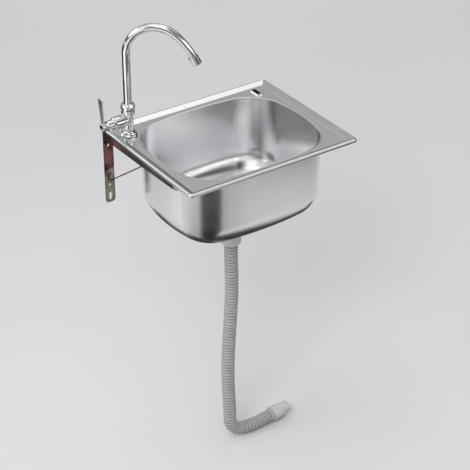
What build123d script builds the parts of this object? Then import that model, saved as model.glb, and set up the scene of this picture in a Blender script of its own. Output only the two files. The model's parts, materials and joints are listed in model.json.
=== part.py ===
from build123d import *
import os
from math import atan, atan2, cos, degrees, hypot, pi, radians, sin, sqrt, tan

os.makedirs("parts", exist_ok=True)

# Wall-hung kitchen sink. Millimetres, +Z up, +X to the right seen from the front, the wall is the
# plane Y = 0 and the sink stands out towards -Y. The origin is the middle of the four wall holes.

# Bowl, measured on its inner face at the deck
bowl_half_width = 191.5
bowl_half_depth = 156.0
bowl_bow_x = 25.0
bowl_bow_y = 18.0
bowl_corner_r = 90.0
bowl_edge_r = 4.0
bowl_band = 14.0
bowl_draft = 1.2
bowl_depth = 191.0
bowl_floor_r = 60.0

# Distance from the bowl's edge to the rim's outer edge
side_margin = 33.5
back_margin = 34.0
front_margin = 24.0
rim_width = 2 * (bowl_half_width + side_margin)
rim_depth = back_margin + 2 * bowl_half_depth + front_margin
bowl_y = -(back_margin + bowl_half_depth)

# Wall holes in the two bracket legs
leg_inset = 13.0
hole_spacing_x = rim_width - 2 * leg_inset
hole_spacing_z = 104.0
wall_hole_r = 3.25
upper_hole_below_rim = 48.0
rim_z = hole_spacing_z / 2 + upper_hole_below_rim

# Rim and deck
sheet = 1.0
rim_corner_r = 10.0
rim_edge_r = 4.5
border_flat = 6.0
border_slope = 12.0
border_bend_r = 2.0
deck_drop = 6.0
step_corner_r = 3.0
deck_z = rim_z - deck_drop
seat_z = deck_z - sheet
floor_z = deck_z - bowl_depth

# The bowl is welded under the deck's drawn-down edge, this far below the deck
weld_below_deck = 9.0
weld_z = deck_z - weld_below_deck

# Strainer seat in the bowl's floor
drain_x = 0.0
drain_y = bowl_y
seat_r = 58.0
seat_drop = 3.5
drain_hole_r = 45.0
seat_floor_z = floor_z - seat_drop

# Strainer cup and its seals
seal_t = 1.0
cup_flange_r = 56.0
cup_t = 1.0
cup_fit = 1.5
cup_ledge_drop = 7.0
cup_ledge_w = 3.5
cup_height = 36.0
cup_hole_count = 8
cup_hole_r = 4.5
cup_hole_ring_r = 16.0
cup_flange_z = seat_floor_z + seal_t
cup_upper_r = drain_hole_r - cup_fit
cup_lower_r = cup_upper_r - cup_ledge_w
cup_ledge_z = cup_flange_z - cup_ledge_drop
cup_floor_z = cup_flange_z - cup_height

# Drain housing under the bowl
body_seal_t = 2.0
housing_wall = 3.0
housing_fit = 0.5
housing_flange_r = 54.0
housing_flange_t = 3.5
housing_below_cup = 8.0
housing_cone_h = 15.0
outlet_r = 21.5
outlet_h = 21.0
outlet_bore_r = 14.0
spoke_w = 3.0
spoke_count = 3
boss_r = 7.0
boss_h = 16.0
boss_gap = 1.0
seal_fit = 0.5
port_r = 12.0
port_l = 18.0
port_below_flange = 18.5
housing_in_r = drain_hole_r - housing_fit
housing_out_r = housing_in_r + housing_wall
housing_top_z = seat_floor_z - sheet - body_seal_t
housing_wall_end_z = cup_floor_z - housing_below_cup
outlet_top_z = housing_wall_end_z - housing_cone_h
outlet_end_z = outlet_top_z - outlet_h

# Clamping screw of the strainer
clamp_screw_r = 3.0
clamp_head_r = 6.0
clamp_head_h = 2.4
clamp_slot_w = 1.2
clamp_screw_short = 3.0

# Basket with its stopper
basket_fit = 1.5
basket_rim_fit = 0.5
basket_t = 0.8
basket_height = 16.5
basket_hole_r = 1.6
basket_hole_pitch = 5.5
basket_ring_pitch = 6.5
basket_ring_count = 4
basket_slot_count = 30
basket_slot_w = 2.4
basket_slot_h = 9.0
stem_r = 3.0
running_gap = 0.06
basket_boss_r = 5.5
basket_boss_h = 5.0
stopper_r = 27.0
stopper_h = 5.0
stopper_web = 2.0
stopper_lip_w = 4.0
stopper_gap = 0.05
stem_collar_r = 5.0
stem_collar_t = 1.2
knob_r = 9.0
knob_neck_r = 5.5
knob_neck_h = 4.0
knob_edge = 1.5
knob_h = 10.0
knob_above_floor = 13.0
basket_floor_z = cup_ledge_z - basket_height
stopper_z = cup_floor_z + cup_t + stopper_gap

# Drain hose and its nut
hose_r = 16.5
hose_root_r = 14.7
hose_bore_r = 13.2
hose_fit = 0.7
hose_pitch = 8.6
rib_root_start = 0.2
rib_root_end = 0.55
rib_crest_start = 0.75
hose_plain = 21.0
hose_socket = 9.0
hose_washer_t = 2.5
hose_washer_fit = 0.2
hose_nut_wall = 3.0
hose_nut_h = 25.0
hose_nut_lip = 7.5
hose_nut_chamfer = 4.0
hose_nut_grips = 24
hose_nut_grip_r = 1.1
hose_top_z = outlet_end_z + hose_socket
hose_corner_share = 0.45

# The hose's route, from its top under the drain
hose_route = [
    (0.0, 0.0, 0.0),
    (0.0, 0.0, -61.0),
    (2.0, -1.0, -139.5),
    (-1.0, 1.0, -239.5),
    (-6.0, 4.0, -339.5),
    (-6.5, 4.5, -419.5),
    (-4.5, 3.0, -479.5),
    (-3.0, 1.5, -519.5),
    (-3.0, 1.0, -556.5),
    (8.0, 0.0, -575.8),
    (26.3, -2.0, -586.5),
    (60.0, -6.0, -587.5),
    (99.5, -5.3, -585.5),
    (138.0, -3.8, -582.1),
]

# Cuff on the hose's far end
cuff_cover = 15.0
cuff_big_r = 20.0
cuff_big_end_r = 18.0
cuff_big_l = 29.0
cuff_small_r = 14.8
cuff_small_l = 22.0
cuff_edge = 1.0
cuff_wall = 2.0

# Overflow in the back right corner of the deck
overflow_from_side = 51.0
overflow_x = rim_width / 2 - overflow_from_side
overflow_y = -43.0
overflow_w = 16.0
overflow_l = 36.0
overflow_h = 2.4
overflow_r = 6.0
overflow_slot_w = 9.0
overflow_slot_l = 27.0
overflow_slot_r = 3.0
overflow_edge_r = 0.8
overflow_inset = 2.0
overflow_skirt_wall = 1.0
overflow_skirt_h = 9.0
box_wall = 1.8
box_h = 24.0
box_flange_w = 2.2
box_flange_t = 2.0
spigot_l = 14.0
skirt_fit = 0.3
gasket_t = 1.0
pipe_r = 10.0
pipe_wall = 1.5
pipe_fit = 0.1
pipe_bend_r = 34.0
pipe_in = 10.0
pipe_nut_wall = 3.0
pipe_nut_l = 15.0
pipe_nut_lip = 3.0
pipe_nut_grips = 16

# Tap body
tap_from_side = 40.0
tap_x = tap_from_side - rim_width / 2
tap_y = -52.0
tap_hole_r = 11.0
base_seal_t = 1.2
base_r = 19.5
base_h = 3.0
base_bevel_w = 2.0
base_bevel_h = 2.3
column_r = 11.0
bell_h = 16.0
bell_mid_h = 10.0
bell_mid_out = 1.0
column_h = 49.0
neck_r = 11.5
neck_h = 16.0
shank_r = 10.4
shank_l = 46.0
shank_bore_r = 7.5
shank_bore_top = -2.0
inlet_r = 3.0
inlet_x = 6.0
socket_h = 17.0
tail_gap = 0.5
outlet_hole_r = 2.4
outlet_hole_low = (-8.0, 45.0)
outlet_hole_high = (-5.5, 50.0)
deck_washer_t = 2.0
deck_washer_r = 14.3
lock_nut_flats = 26.0
lock_nut_h = 8.0
thread_relief_r = 9.6
thread_relief_w = 2.0
thread_relief_gap = 0.5
tail_r = 8.0

# Spout
spout_r = 9.0
spout_wall = 1.0
spout_bore_r = 6.0
spout_bore_top = 76.0
spout_lift = 0.3
spout_straight = 201.5
spout_arc_r = 69.0
spout_turn = 130.0
spout_ease_r = 158.0
spout_ease_turn = 21.0
spout_end_l = 10.0
spout_heading = -45.0
ring_width = 2.4
ring_gap = 0.03
ring_groove_r = 6.9
ring_low = 5.0
ring_pitch = 7.0
clip_groove_r = 8.15
clip_r = 11.2
clip_t = 2.3
clip_above_neck = 3.0
clip_gap = 0.1
clip_opening = 4.0
curve_gap = 0.35

# Collar nut, with the steps of its outline as wall outside the neck and height above the column
collar_h = 30.0
collar_steps = [(0.8, 0), (3.6, 6), (3.6, 16), (2.7, 18.5), (4.7, 20.5), (4.7, 26), (3.4, 28.5)]
collar_lip_w = 1.2
collar_ceiling_gap = 0.3
collar_cavity_fit = 0.1

# Aerator
aerator_r = 11.5
aerator_l = 20.0
aerator_thread = 8.0
aerator_lip = 1.6
aerator_edge_r = 0.5
aerator_mouth_r = 8.8
aerator_pocket_fit = 0.5
aerator_insert_fit = 0.1
aerator_washer_t = 1.5
aerator_washer_w = 3.4
aerator_plate_t = 2.0
aerator_insert_wall = 1.4
aerator_hole_r = 0.9
aerator_hole_pitch = 2.7

# Side valve, measured to the left from the tap's axis
valve_above_deck = 37.0
boss_out_r = 11.5
boss_l = 30.0
cartridge_r = 8.4
cartridge_fit = 0.1
cartridge_front = -2.0
cartridge_nose_gap = 0.2
cartridge_cavity_r = 6.7
seat_gasket_t = 2.0
disc_r = 6.4
disc_t = 3.0
disc_gap = 0.03
disc_hole_r = 1.9
disc_hole_at = 3.4
foot_t = 4.0
foot_play = 0.2
window_r = 2.0
window_count = 4
cartridge_flange_r = 11.5
cartridge_flange_t = 4.0
cartridge_neck_r = 8.0
cartridge_end = 60.0
valve_stem_r = 4.0
valve_stem_shoulder = 60.5
valve_stem_end = 65.5
stem_fit = 0.05
spline_r = 3.4
spline_flat = 2.8
cover_r = 16.8
cover_end_r = 12.5
cover_wall = 1.5
cover_start = 15.5
cover_step_start = 37.0
cover_step_end = 42.0
cover_end = 56.0
cover_lip_fit = 0.6
cover_edge_r = 1.2
stem_ring_at = 22.0
stem_ring_w = 2.2
stem_ring_groove_r = 2.9
relief_r = 10.0
relief_start = 5.5
relief_end = 10.5

# Lever
hub_r = 9.0
hub_start = 61.0
hub_end = 70.0
lever_l = 72.0
lever_foot_w = 9.0
lever_tip_w = 15.5
lever_t = 3.0
lever_lean = -3.5
lever_tip_r = 2.5
hub_edge = 0.8
hub_floor = 1.5
lever_screw_r = 2.0
lever_screw_start = 53.0
lever_screw_head_r = 3.6
lever_screw_head_t = 1.6
lever_cap_r = 6.0
lever_cap_gap = 0.2
lever_cap_t = 1.2
lever_cap_dome = 0.9

# Wall brackets
leg_w = 25.0
leg_t = 2.5
leg_below_rim = 198.0
leg_end_r = 8.0
slot_w = 7.0
slot_l = 20.0
slot_below_rim = 182.0
boss_ring_in_r = 5.6
boss_ring_out_r = 8.2
boss_ring_h = 1.2
arm_t = 2.0
arm_l = 320.0
arm_flange_t = 2.0
arm_flange_back = 19.0
arm_flange_mid = 15.0
arm_flange_front = 11.0
arm_flange_tip = 5.0
arm_nose_l = 20.0
arm_tip_r = 10.0
tab_below_rim = 38.0
lug_y = -117.0
lug_l = 14.0
lug_w = 8.0
lug_t = 1.5
brace_t = 2.0
brace_w = 16.0
brace_tip_w = 8.0
brace_foot_w = 21.0
brace_arm_y = -184.0
brace_tab_l = 20.0
brace_tip_below_rim = 140.0
brace_foot_h = 28.0
brace_rivet_up = 19.0
rivet_r = 2.5
rivet_head_r = 4.6
rivet_head_h = 1.8
rivet_dome = 1.4
leg_x = hole_spacing_x / 2
tab_rivets_below_rim = [20.0, 31.0]


def disc(r, z0, z1, x=0.0, y=0.0):
    return Pos(x, y, z0) * Cylinder(r, z1 - z0, align=(Align.CENTER, Align.CENTER, Align.MIN))


def ring(r_out, r_in, z0, z1, x=0.0, y=0.0):
    return disc(r_out, z0, z1, x, y) - disc(r_in, z0 - 1, z1 + 1, x, y)


def groove(r, floor_r, z0, z1):
    # What a groove takes off a round bar
    return disc(r + 1, z0, z1) - disc(floor_r, z0 - 1, z1 + 1)


def turned(points):
    # Solid of revolution about Z from (radius, height) points
    outline = Polyline([(r, 0, z) for r, z in points], close=True)
    return revolve(make_face(outline), axis=Axis.Z)


def block(x0, x1, y0, y1, z0, z1):
    box = Box(x1 - x0, y1 - y0, z1 - z0)
    return Pos((x0 + x1) / 2, (y0 + y1) / 2, (z0 + z1) / 2) * box


def domed(r, z0, z1, rise):
    # A round bar whose upper end is part of a ball
    ball_r = (r ** 2 + rise ** 2) / (2 * rise)
    return disc(r, z0, z1) & Pos(0, 0, z1 - ball_r) * Sphere(ball_r)


def hexagon(flats, z0, z1):
    sides = RegularPolygon(flats / 2, 6, major_radius=False, rotation=30)
    return extrude(Plane.XY.offset(z0) * sides, z1 - z0)


def rounded_plate(width, length, r, z0, z1):
    return extrude(Plane.XY.offset(z0) * RectangleRounded(width, length, r), z1 - z0)


# Basin

def bow_radius(half_chord, bow):
    return (half_chord ** 2 + bow ** 2) / (2 * bow)


def bowl_arcs():
    # Centre, radius, first angle and turn of the eight arcs that make the bowl's outline
    side_r = bow_radius(bowl_half_depth - bowl_bow_y, bowl_bow_x)
    end_r = bow_radius(bowl_half_width - bowl_bow_x, bowl_bow_y)
    side_x = bowl_half_width - side_r
    end_y = bowl_half_depth - end_r
    # A corner arc touches both of its neighbours, which fixes its centre
    reach_side = side_r - bowl_corner_r
    reach_end = end_r - bowl_corner_r
    span = hypot(side_x, end_y)
    along = (reach_side ** 2 - reach_end ** 2 + span ** 2) / (2 * span)
    aside = sqrt(reach_side ** 2 - along ** 2)
    corner_x = side_x - (along * side_x - aside * end_y) / span
    corner_y = (along * end_y + aside * side_x) / span
    if corner_y < 0:
        corner_x = side_x - (along * side_x + aside * end_y) / span
        corner_y = (along * end_y - aside * side_x) / span
    low = degrees(atan2(corner_y, corner_x - side_x))
    high = degrees(atan2(corner_y - end_y, corner_x))
    arcs = []
    for quarter, turn_x, turn_y in [(0, 1, 1), (1, -1, 1), (2, -1, -1), (3, 1, -1)]:
        centre = (corner_x * turn_x, corner_y * turn_y)
        first = quarter * 90 + (low if quarter % 2 == 0 else 90 - high)
        arcs.append((centre, bowl_corner_r, first, high - low))
    arcs.append(((side_x, 0), side_r, -low, 2 * low))
    arcs.append(((-side_x, 0), side_r, 180 - low, 2 * low))
    arcs.append(((0, end_y), end_r, high, 180 - 2 * high))
    arcs.append(((0, -end_y), end_r, 180 + high, 180 - 2 * high))
    return arcs


def bowl_outline(grow):
    # Bowed sides with round corners, grown by a distance
    edges = [CenterArc(centre, r + grow, first, turn) for centre, r, first, turn in bowl_arcs()]
    return make_face(edges)


def opening_flare(grow, z, r):
    # What a rounded edge of radius r takes off the corner of the opening at the height z
    flare = None
    for centre, arc_r, first, turn in bowl_arcs():
        wall = arc_r + grow
        out = Vector(cos(radians(first)), sin(radians(first)), 0)
        foot = Vector(centre[0], centre[1] + bowl_y, 0)
        plane = Plane(foot, x_dir=out, z_dir=out.cross(Vector(0, 0, 1)))
        bend = CenterArc((wall + r, z - r), r, 90, 90)
        inside = wall - 1
        rest = Polyline((wall, z - r), (inside, z - r), (inside, z + 1), (wall + r, z + 1), (wall + r, z))
        section = plane * make_face([bend, rest])
        piece = revolve(section, axis=Axis(foot, (0, 0, 1)), revolution_arc=turn)
        flare = piece if flare is None else flare + piece
    return flare


def bowl_form(grow, top_z):
    # The bowl as a closed solid, grown on every side, from its floor up to top_z. The walls are
    # upright in a band below the deck and lean in below it.
    band_z = deck_z - bowl_band
    bottom_z = floor_z - grow
    inset = (band_z - bottom_z) * tan(radians(bowl_draft))
    high = Plane((0, bowl_y, band_z)) * bowl_outline(grow)
    low = Plane((0, bowl_y, bottom_z)) * bowl_outline(grow - inset)
    form = loft([low, high], ruled=True)
    edges = form.edges().filter_by(lambda edge: abs(edge.center().Z - bottom_z) < 0.01)
    form = fillet(edges, bowl_floor_r + grow)
    return form + extrude(high, top_z - band_z)


def border_pocket(t):
    # The space inside the raised border, down to the deck, moved down by t
    slope = atan(deck_drop / border_slope)
    low_inset = border_flat + border_slope - t * tan(slope / 2)
    top_z = rim_z + 2
    low_z = deck_z - t
    high_inset = low_inset - (top_z - low_z) * border_slope / deck_drop
    sections = []
    for inset, z, r in [(low_inset, low_z, step_corner_r), (high_inset, top_z, step_corner_r)]:
        shape = RectangleRounded(rim_width - 2 * inset, rim_depth - 2 * inset, r)
        sections.append(Plane((0, -rim_depth / 2, z)) * shape)
    pocket = loft(sections, ruled=True)
    low = pocket.edges().filter_by(lambda edge: abs(edge.center().Z - low_z) < 0.01)
    return fillet(low, border_bend_r + t)


def rim_slab(t, bottom_z):
    # The rim's block with its pocket, shrunk by t
    plane = Plane((0, -rim_depth / 2, bottom_z))
    face = plane * RectangleRounded(rim_width - 2 * t, rim_depth - 2 * t, rim_corner_r - t)
    slab = extrude(face, rim_z - t - bottom_z)
    top = slab.edges().filter_by(lambda edge: abs(edge.center().Z - (rim_z - t)) < 0.01)
    return fillet(top, rim_edge_r - t) - border_pocket(t)


def make_basin():
    # Deck and bowl in one piece
    inner = bowl_form(0, rim_z + 1)
    outer = bowl_form(sheet, deck_z)
    flare = bowl_edge_r - sheet
    collar_z = seat_z - flare - 1
    # Everything that the sheet can fill, with its upper face finished
    upper = rim_slab(0, seat_z) - inner - opening_flare(0, deck_z, bowl_edge_r)
    collar_plane = Plane((0, bowl_y, collar_z))
    collar = extrude(collar_plane * bowl_outline(flare + sheet + 1), seat_z - collar_z)
    # Everything below the sheet
    under = rim_slab(sheet, collar_z - 1) - outer - opening_flare(sheet, seat_z, flare)
    walls = collar - inner
    bowl = outer - inner
    seat_out = disc(seat_r + sheet, seat_floor_z - sheet, floor_z, drain_x, drain_y)
    seat_in = disc(seat_r, seat_floor_z, floor_z + 1, drain_x, drain_y)
    basin = (upper + walls + bowl) - under
    basin = basin + seat_out - seat_in
    basin -= disc(drain_hole_r, seat_floor_z - sheet - 1, floor_z, drain_x, drain_y)
    basin -= disc(tap_hole_r, seat_z - 1, deck_z + 1, tap_x, tap_y)
    hole = rounded_plate(
        overflow_w - 2 * overflow_inset,
        overflow_l - 2 * overflow_inset,
        overflow_r - overflow_inset,
        seat_z - 1,
        deck_z + 1,
    )
    return basin - Pos(overflow_x, overflow_y, 0) * hole


def make_deck_and_bowl():
    # The basin cut at its weld
    basin = make_basin()
    weld = Plane.XY.offset(weld_z)
    return split(basin, bisect_by=weld, keep=Keep.TOP), split(basin, bisect_by=weld, keep=Keep.BOTTOM)


# Drain

def port_heading():
    return degrees(atan2(overflow_y - drain_y, overflow_x - drain_x))


def port_end():
    return housing_out_r + port_l


def port_z():
    return housing_top_z - housing_flange_t - port_below_flange


def nut(r_out, r_in, hole_r, height, lip, chamfer, grips, grip_r):
    # A cap nut standing on its lip at Z = 0, its thread bore open at the top
    body = turned([(0, 0), (r_out - chamfer, 0), (r_out, chamfer), (r_out, height), (0, height)])
    body -= disc(hole_r, -1, lip)
    body -= disc(r_in, lip, height + 1)
    notches = []
    for step in range(grips):
        turn = radians(step * 360 / grips)
        notches.append(disc(grip_r, -1, height + 1, r_out * cos(turn), r_out * sin(turn)))
    return body - notches


def make_flange_seal():
    return ring(cup_flange_r - 1, drain_hole_r + seal_fit, seat_floor_z, cup_flange_z, drain_x, drain_y)


def make_body_seal():
    low_z = housing_top_z
    return ring(housing_flange_r, drain_hole_r + seal_fit, low_z, low_z + body_seal_t, drain_x, drain_y)


def make_strainer_cup():
    top_z = cup_flange_z + cup_t
    cup = turned([
        (0, cup_floor_z),
        (cup_lower_r, cup_floor_z),
        (cup_lower_r, cup_ledge_z - cup_t),
        (cup_upper_r, cup_ledge_z - cup_t),
        (cup_upper_r, cup_flange_z),
        (cup_flange_r, cup_flange_z),
        (cup_flange_r, top_z),
        (cup_upper_r - cup_t, top_z),
        (cup_upper_r - cup_t, cup_ledge_z),
        (cup_lower_r - cup_t, cup_ledge_z),
        (cup_lower_r - cup_t, cup_floor_z + cup_t),
        (0, cup_floor_z + cup_t),
    ])
    holes = [disc(clamp_screw_r, cup_floor_z - 1, cup_floor_z + cup_t + 1)]
    for step in range(cup_hole_count):
        turn = radians(step * 360 / cup_hole_count)
        x = cup_hole_ring_r * cos(turn)
        y = cup_hole_ring_r * sin(turn)
        holes.append(disc(cup_hole_r, cup_floor_z - 1, cup_floor_z + cup_t + 1, x, y))
    return Pos(drain_x, drain_y, 0) * (cup - holes)


def make_drain_body():
    socket_r = hose_r + hose_fit
    body = turned([
        (housing_in_r, housing_top_z),
        (housing_flange_r, housing_top_z),
        (housing_flange_r, housing_top_z - housing_flange_t),
        (housing_out_r, housing_top_z - housing_flange_t),
        (housing_out_r, housing_wall_end_z),
        (outlet_r, outlet_top_z),
        (outlet_r, outlet_end_z),
        (socket_r, outlet_end_z),
        (socket_r, hose_top_z),
        (outlet_bore_r, hose_top_z),
        (outlet_bore_r, outlet_top_z),
        (housing_in_r, housing_wall_end_z),
    ])
    boss_top = cup_floor_z - boss_gap
    body += disc(boss_r, boss_top - boss_h, boss_top)
    reach = housing_in_r + housing_wall / 2
    spoke = block(boss_r / 2, reach, -spoke_w / 2, spoke_w / 2, housing_wall_end_z, boss_top - boss_gap)
    for step in range(spoke_count):
        body += Rot(0, 0, step * 360 / spoke_count) * spoke
    body -= disc(clamp_screw_r, boss_top - boss_h - 1, boss_top + 1)
    port = disc(port_r, housing_in_r + housing_fit, port_end())
    bore = disc(pipe_r + pipe_fit, cup_lower_r + cup_fit, port_end() + 1)
    place = Rot(0, 0, port_heading()) * Pos(0, 0, port_z()) * Rot(0, 90, 0)
    body += place * port
    body -= place * bore
    return Pos(drain_x, drain_y, 0) * body


def make_clamp_screw():
    head_z = cup_floor_z + cup_t
    end_z = cup_floor_z - boss_gap - boss_h + clamp_screw_short
    screw = disc(clamp_head_r, head_z, head_z + clamp_head_h)
    screw = chamfer(screw.edges().sort_by(Axis.Z)[-1], clamp_head_h / 4)
    screw += disc(clamp_screw_r, end_z, head_z)
    slot_low = head_z + clamp_head_h / 2
    slot_high = head_z + clamp_head_h + 1
    side = clamp_slot_w / 2
    slot = block(-clamp_head_r - 1, clamp_head_r + 1, -side, side, slot_low, slot_high)
    return Pos(drain_x, drain_y, 0) * (screw - slot)


def basket_wall_r():
    return cup_lower_r - cup_t - basket_fit


def make_strainer_basket():
    wall_r = basket_wall_r()
    rim_r = cup_upper_r - cup_t - basket_rim_fit
    top_z = cup_ledge_z + basket_t
    floor_top_z = basket_floor_z + basket_t
    basket = turned([
        (stem_r + running_gap, basket_floor_z),
        (wall_r, basket_floor_z),
        (wall_r, cup_ledge_z),
        (rim_r, cup_ledge_z),
        (rim_r, top_z),
        (wall_r - basket_t, top_z),
        (wall_r - basket_t, floor_top_z),
        (basket_boss_r, floor_top_z),
        (basket_boss_r, floor_top_z + basket_boss_h),
        (stem_r + running_gap, floor_top_z + basket_boss_h),
    ])
    holes = []
    for ring_step in range(basket_ring_count):
        r = basket_boss_r + basket_ring_pitch * (ring_step + 1) - basket_hole_r
        count = int(2 * pi * r / basket_hole_pitch)
        for step in range(count):
            turn = 2 * pi * step / count
            low = basket_floor_z - 1
            holes.append(disc(basket_hole_r, low, floor_top_z + 1, r * cos(turn), r * sin(turn)))
    middle_z = (basket_floor_z + cup_ledge_z) / 2
    slot = block(
        wall_r - 2 * basket_t,
        wall_r + basket_t,
        -basket_slot_w / 2,
        basket_slot_w / 2,
        middle_z - basket_slot_h / 2,
        middle_z + basket_slot_h / 2,
    )
    for step in range(basket_slot_count):
        holes.append(Rot(0, 0, step * 360 / basket_slot_count) * slot)
    return Pos(drain_x, drain_y, 0) * (basket - holes)


def make_stopper_seal():
    top_z = stopper_z + stopper_h
    seal = disc(stopper_r, stopper_z, top_z)
    seal -= disc(stopper_r - stopper_lip_w, stopper_z - 1, top_z - stopper_web)
    seal -= disc(stem_r, stopper_z, top_z + 1)
    edge = seal.edges().filter_by(GeomType.CIRCLE).group_by(Axis.Z)[-1].sort_by(SortBy.RADIUS)[-1]
    seal = chamfer(edge, stopper_web / 2)
    return Pos(drain_x, drain_y, 0) * seal


def knob_z():
    return basket_floor_z + knob_above_floor


def make_stopper_stem():
    top_z = stopper_z + stopper_h
    stem = disc(stem_r, top_z - stopper_web, knob_z() + knob_h / 2)
    stem += disc(stem_collar_r, top_z, top_z + stem_collar_t)
    return Pos(drain_x, drain_y, 0) * stem


def make_stopper_knob():
    low = knob_z()
    waist = low + knob_neck_h
    knob = disc(knob_neck_r, low, waist + knob_edge)
    knob += domed(knob_r, waist, low + knob_h, knob_h - knob_neck_h - knob_edge)
    knob -= disc(stem_r, low - 1, low + knob_h / 2)
    return Pos(drain_x, drain_y, 0) * knob


# Drain hose

def make_hose_washer():
    low_z = outlet_end_z - hose_washer_t
    return ring(outlet_r, hose_r + hose_washer_fit, low_z, outlet_end_z, drain_x, drain_y)


def make_hose_nut():
    low_z = outlet_end_z - hose_washer_t - hose_nut_lip
    body = nut(
        outlet_r + hose_nut_wall,
        outlet_r,
        hose_r + hose_fit,
        hose_nut_h,
        hose_nut_lip,
        hose_nut_chamfer,
        hose_nut_grips,
        hose_nut_grip_r,
    )
    return Pos(drain_x, drain_y, low_z) * body


def hose_points():
    top = Vector(drain_x, drain_y, hose_top_z)
    return [top + Vector(*step) for step in hose_route]


def hose_path():
    # Rounds every corner of the route as widely as the runs beside it allow
    points = hose_points()
    radii = []
    for before, here, after in zip(points, points[1:], points[2:]):
        turn = (here - before).get_angle(after - here)
        run = min((here - before).length, (after - here).length)
        radii.append(hose_corner_share * run / tan(radians(turn / 2)))
    print("drain hose radii", [round(r, 1) for r in radii])
    return FilletPolyline(*points, radius=radii)


def hose_section(path, distance, r):
    # A round section of the hose, square to its path
    at = distance / path.length
    plane = Plane(path @ at, x_dir=(0, 1, 0), z_dir=path % at)
    return plane * Circle(r)


def make_drain_hose():
    path = hose_path()
    length = path.length
    count = round((length - 2 * hose_plain) / hose_pitch)
    pitch = (length - 2 * hose_plain) / count
    places = [(0, hose_r)]
    for rib in range(count):
        start = hose_plain + rib * pitch
        places.append((start, hose_r))
        places.append((start + rib_root_start * pitch, hose_root_r))
        places.append((start + rib_root_end * pitch, hose_root_r))
        places.append((start + rib_crest_start * pitch, hose_r))
    places.append((length, hose_r))
    outside = loft([hose_section(path, distance, r) for distance, r in places], ruled=True)
    bore = sweep(hose_section(path, 0, hose_bore_r), path=path)
    hose = outside - bore
    section = pi * ((hose_r + hose_root_r) ** 2 / 4 - hose_bore_r ** 2)
    print("drain hose", round(length, 1), "long,", count, "ribs, volume", round(hose.volume))
    print("section times length", round(section * length))
    return hose


def hose_end():
    # Frame at the hose's far end, its Z along the hose's last run
    before, last = hose_points()[-2:]
    return Plane(last, x_dir=(0, 1, 0), z_dir=last - before).location


def make_hose_cuff():
    start = -cuff_cover
    big_end = start + cuff_big_l
    small_end = big_end + cuff_small_l
    cuff = turned([
        (0, start),
        (cuff_big_r, start),
        (cuff_big_end_r, big_end),
        (cuff_small_r, big_end),
        (cuff_small_r, small_end - cuff_edge),
        (cuff_small_r - cuff_edge, small_end),
        (0, small_end),
    ])
    cuff -= disc(hose_r, start - 1, 0)
    cuff -= disc(cuff_small_r - cuff_wall, -1, small_end + 1)
    return hose_end() * cuff


# Overflow

def slot_plate(width, length, r, z0, z1):
    return Pos(overflow_x, overflow_y, 0) * rounded_plate(width, length, r, z0, z1)


def deck_hole(grow, z0, z1):
    # The overflow's hole through the deck, grown on every side
    width = overflow_w - 2 * overflow_inset + 2 * grow
    length = overflow_l - 2 * overflow_inset + 2 * grow
    return slot_plate(width, length, overflow_r - overflow_inset + grow, z0, z1)


def make_overflow_cover():
    top_z = deck_z + overflow_h
    cover = slot_plate(overflow_w, overflow_l, overflow_r, deck_z, top_z)
    cover = fillet(cover.edges().group_by(Axis.Z)[-1], overflow_edge_r)
    cover += deck_hole(-skirt_fit, deck_z - overflow_skirt_h, deck_z + overflow_h / 2)
    cover -= deck_hole(-skirt_fit - overflow_skirt_wall, deck_z - overflow_skirt_h - 1, deck_z)
    return cover - slot_plate(overflow_slot_w, overflow_slot_l, overflow_slot_r, deck_z - 1, top_z + 1)


def box_top_z():
    return seat_z - gasket_t


def spigot_top_z():
    return box_top_z() - box_h


def make_overflow_gasket():
    rim = box_wall + box_flange_w
    return deck_hole(rim, box_top_z(), seat_z) - deck_hole(0, box_top_z() - 1, seat_z + 1)


def make_overflow_housing():
    top_z = box_top_z()
    low_z = spigot_top_z()
    box = deck_hole(box_wall, low_z, top_z)
    box += deck_hole(box_wall + box_flange_w, top_z - box_flange_t, top_z)
    box += disc(port_r, low_z - spigot_l, low_z + box_flange_t, overflow_x, overflow_y)
    box -= deck_hole(0, low_z + box_flange_t, top_z + 1)
    box -= disc(pipe_r + pipe_fit, low_z - spigot_l - 1, low_z, overflow_x, overflow_y)
    throat_l = 2 * (pipe_r - pipe_wall)
    return box - slot_plate(overflow_slot_w, throat_l, overflow_slot_r, low_z - 1, low_z + box_flange_t + 1)


def pipe_ends():
    # Height of the pipe's upper end, and distance of its lower end from the drain's axis
    return spigot_top_z() - spigot_l + pipe_in, port_end() - pipe_in


def make_overflow_pipe():
    upper_z, inner = pipe_ends()
    reach = hypot(overflow_x - drain_x, overflow_y - drain_y)
    low_z = port_z()
    start = Vector(reach, 0, upper_z)
    bend_start = Vector(reach, 0, low_z + pipe_bend_r)
    bend_end = Vector(reach - pipe_bend_r, 0, low_z)
    middle = Vector(reach - pipe_bend_r, 0, low_z + pipe_bend_r)
    middle += Vector(1, 0, -1).normalized() * pipe_bend_r
    end = Vector(inner, 0, low_z)
    path = Wire([Line(start, bend_start), ThreePointArc(bend_start, middle, bend_end), Line(bend_end, end)])
    plane = Plane(start, x_dir=(1, 0, 0), z_dir=(0, 0, -1))
    pipe = sweep(plane * Circle(pipe_r), path=path) - sweep(plane * Circle(pipe_r - pipe_wall), path=path)
    return Pos(drain_x, drain_y, 0) * Rot(0, 0, port_heading()) * pipe


def make_overflow_nuts():
    r_out = port_r + pipe_nut_wall
    lip = pipe_nut_lip
    body = nut(r_out, port_r, pipe_r + pipe_fit, pipe_nut_l, lip, lip / 2, pipe_nut_grips, lip / 4)
    upper_z = spigot_top_z() - spigot_l - lip
    upper = Pos(overflow_x, overflow_y, upper_z) * body
    place = Pos(drain_x, drain_y, port_z()) * Rot(0, 0, port_heading()) * Pos(port_end() + lip, 0, 0)
    lower = place * Rot(0, -90, 0) * body
    return Compound([upper, lower])


# Tap body, with heights from the deck up

def tap_place():
    return Pos(tap_x, tap_y, deck_z)


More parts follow.
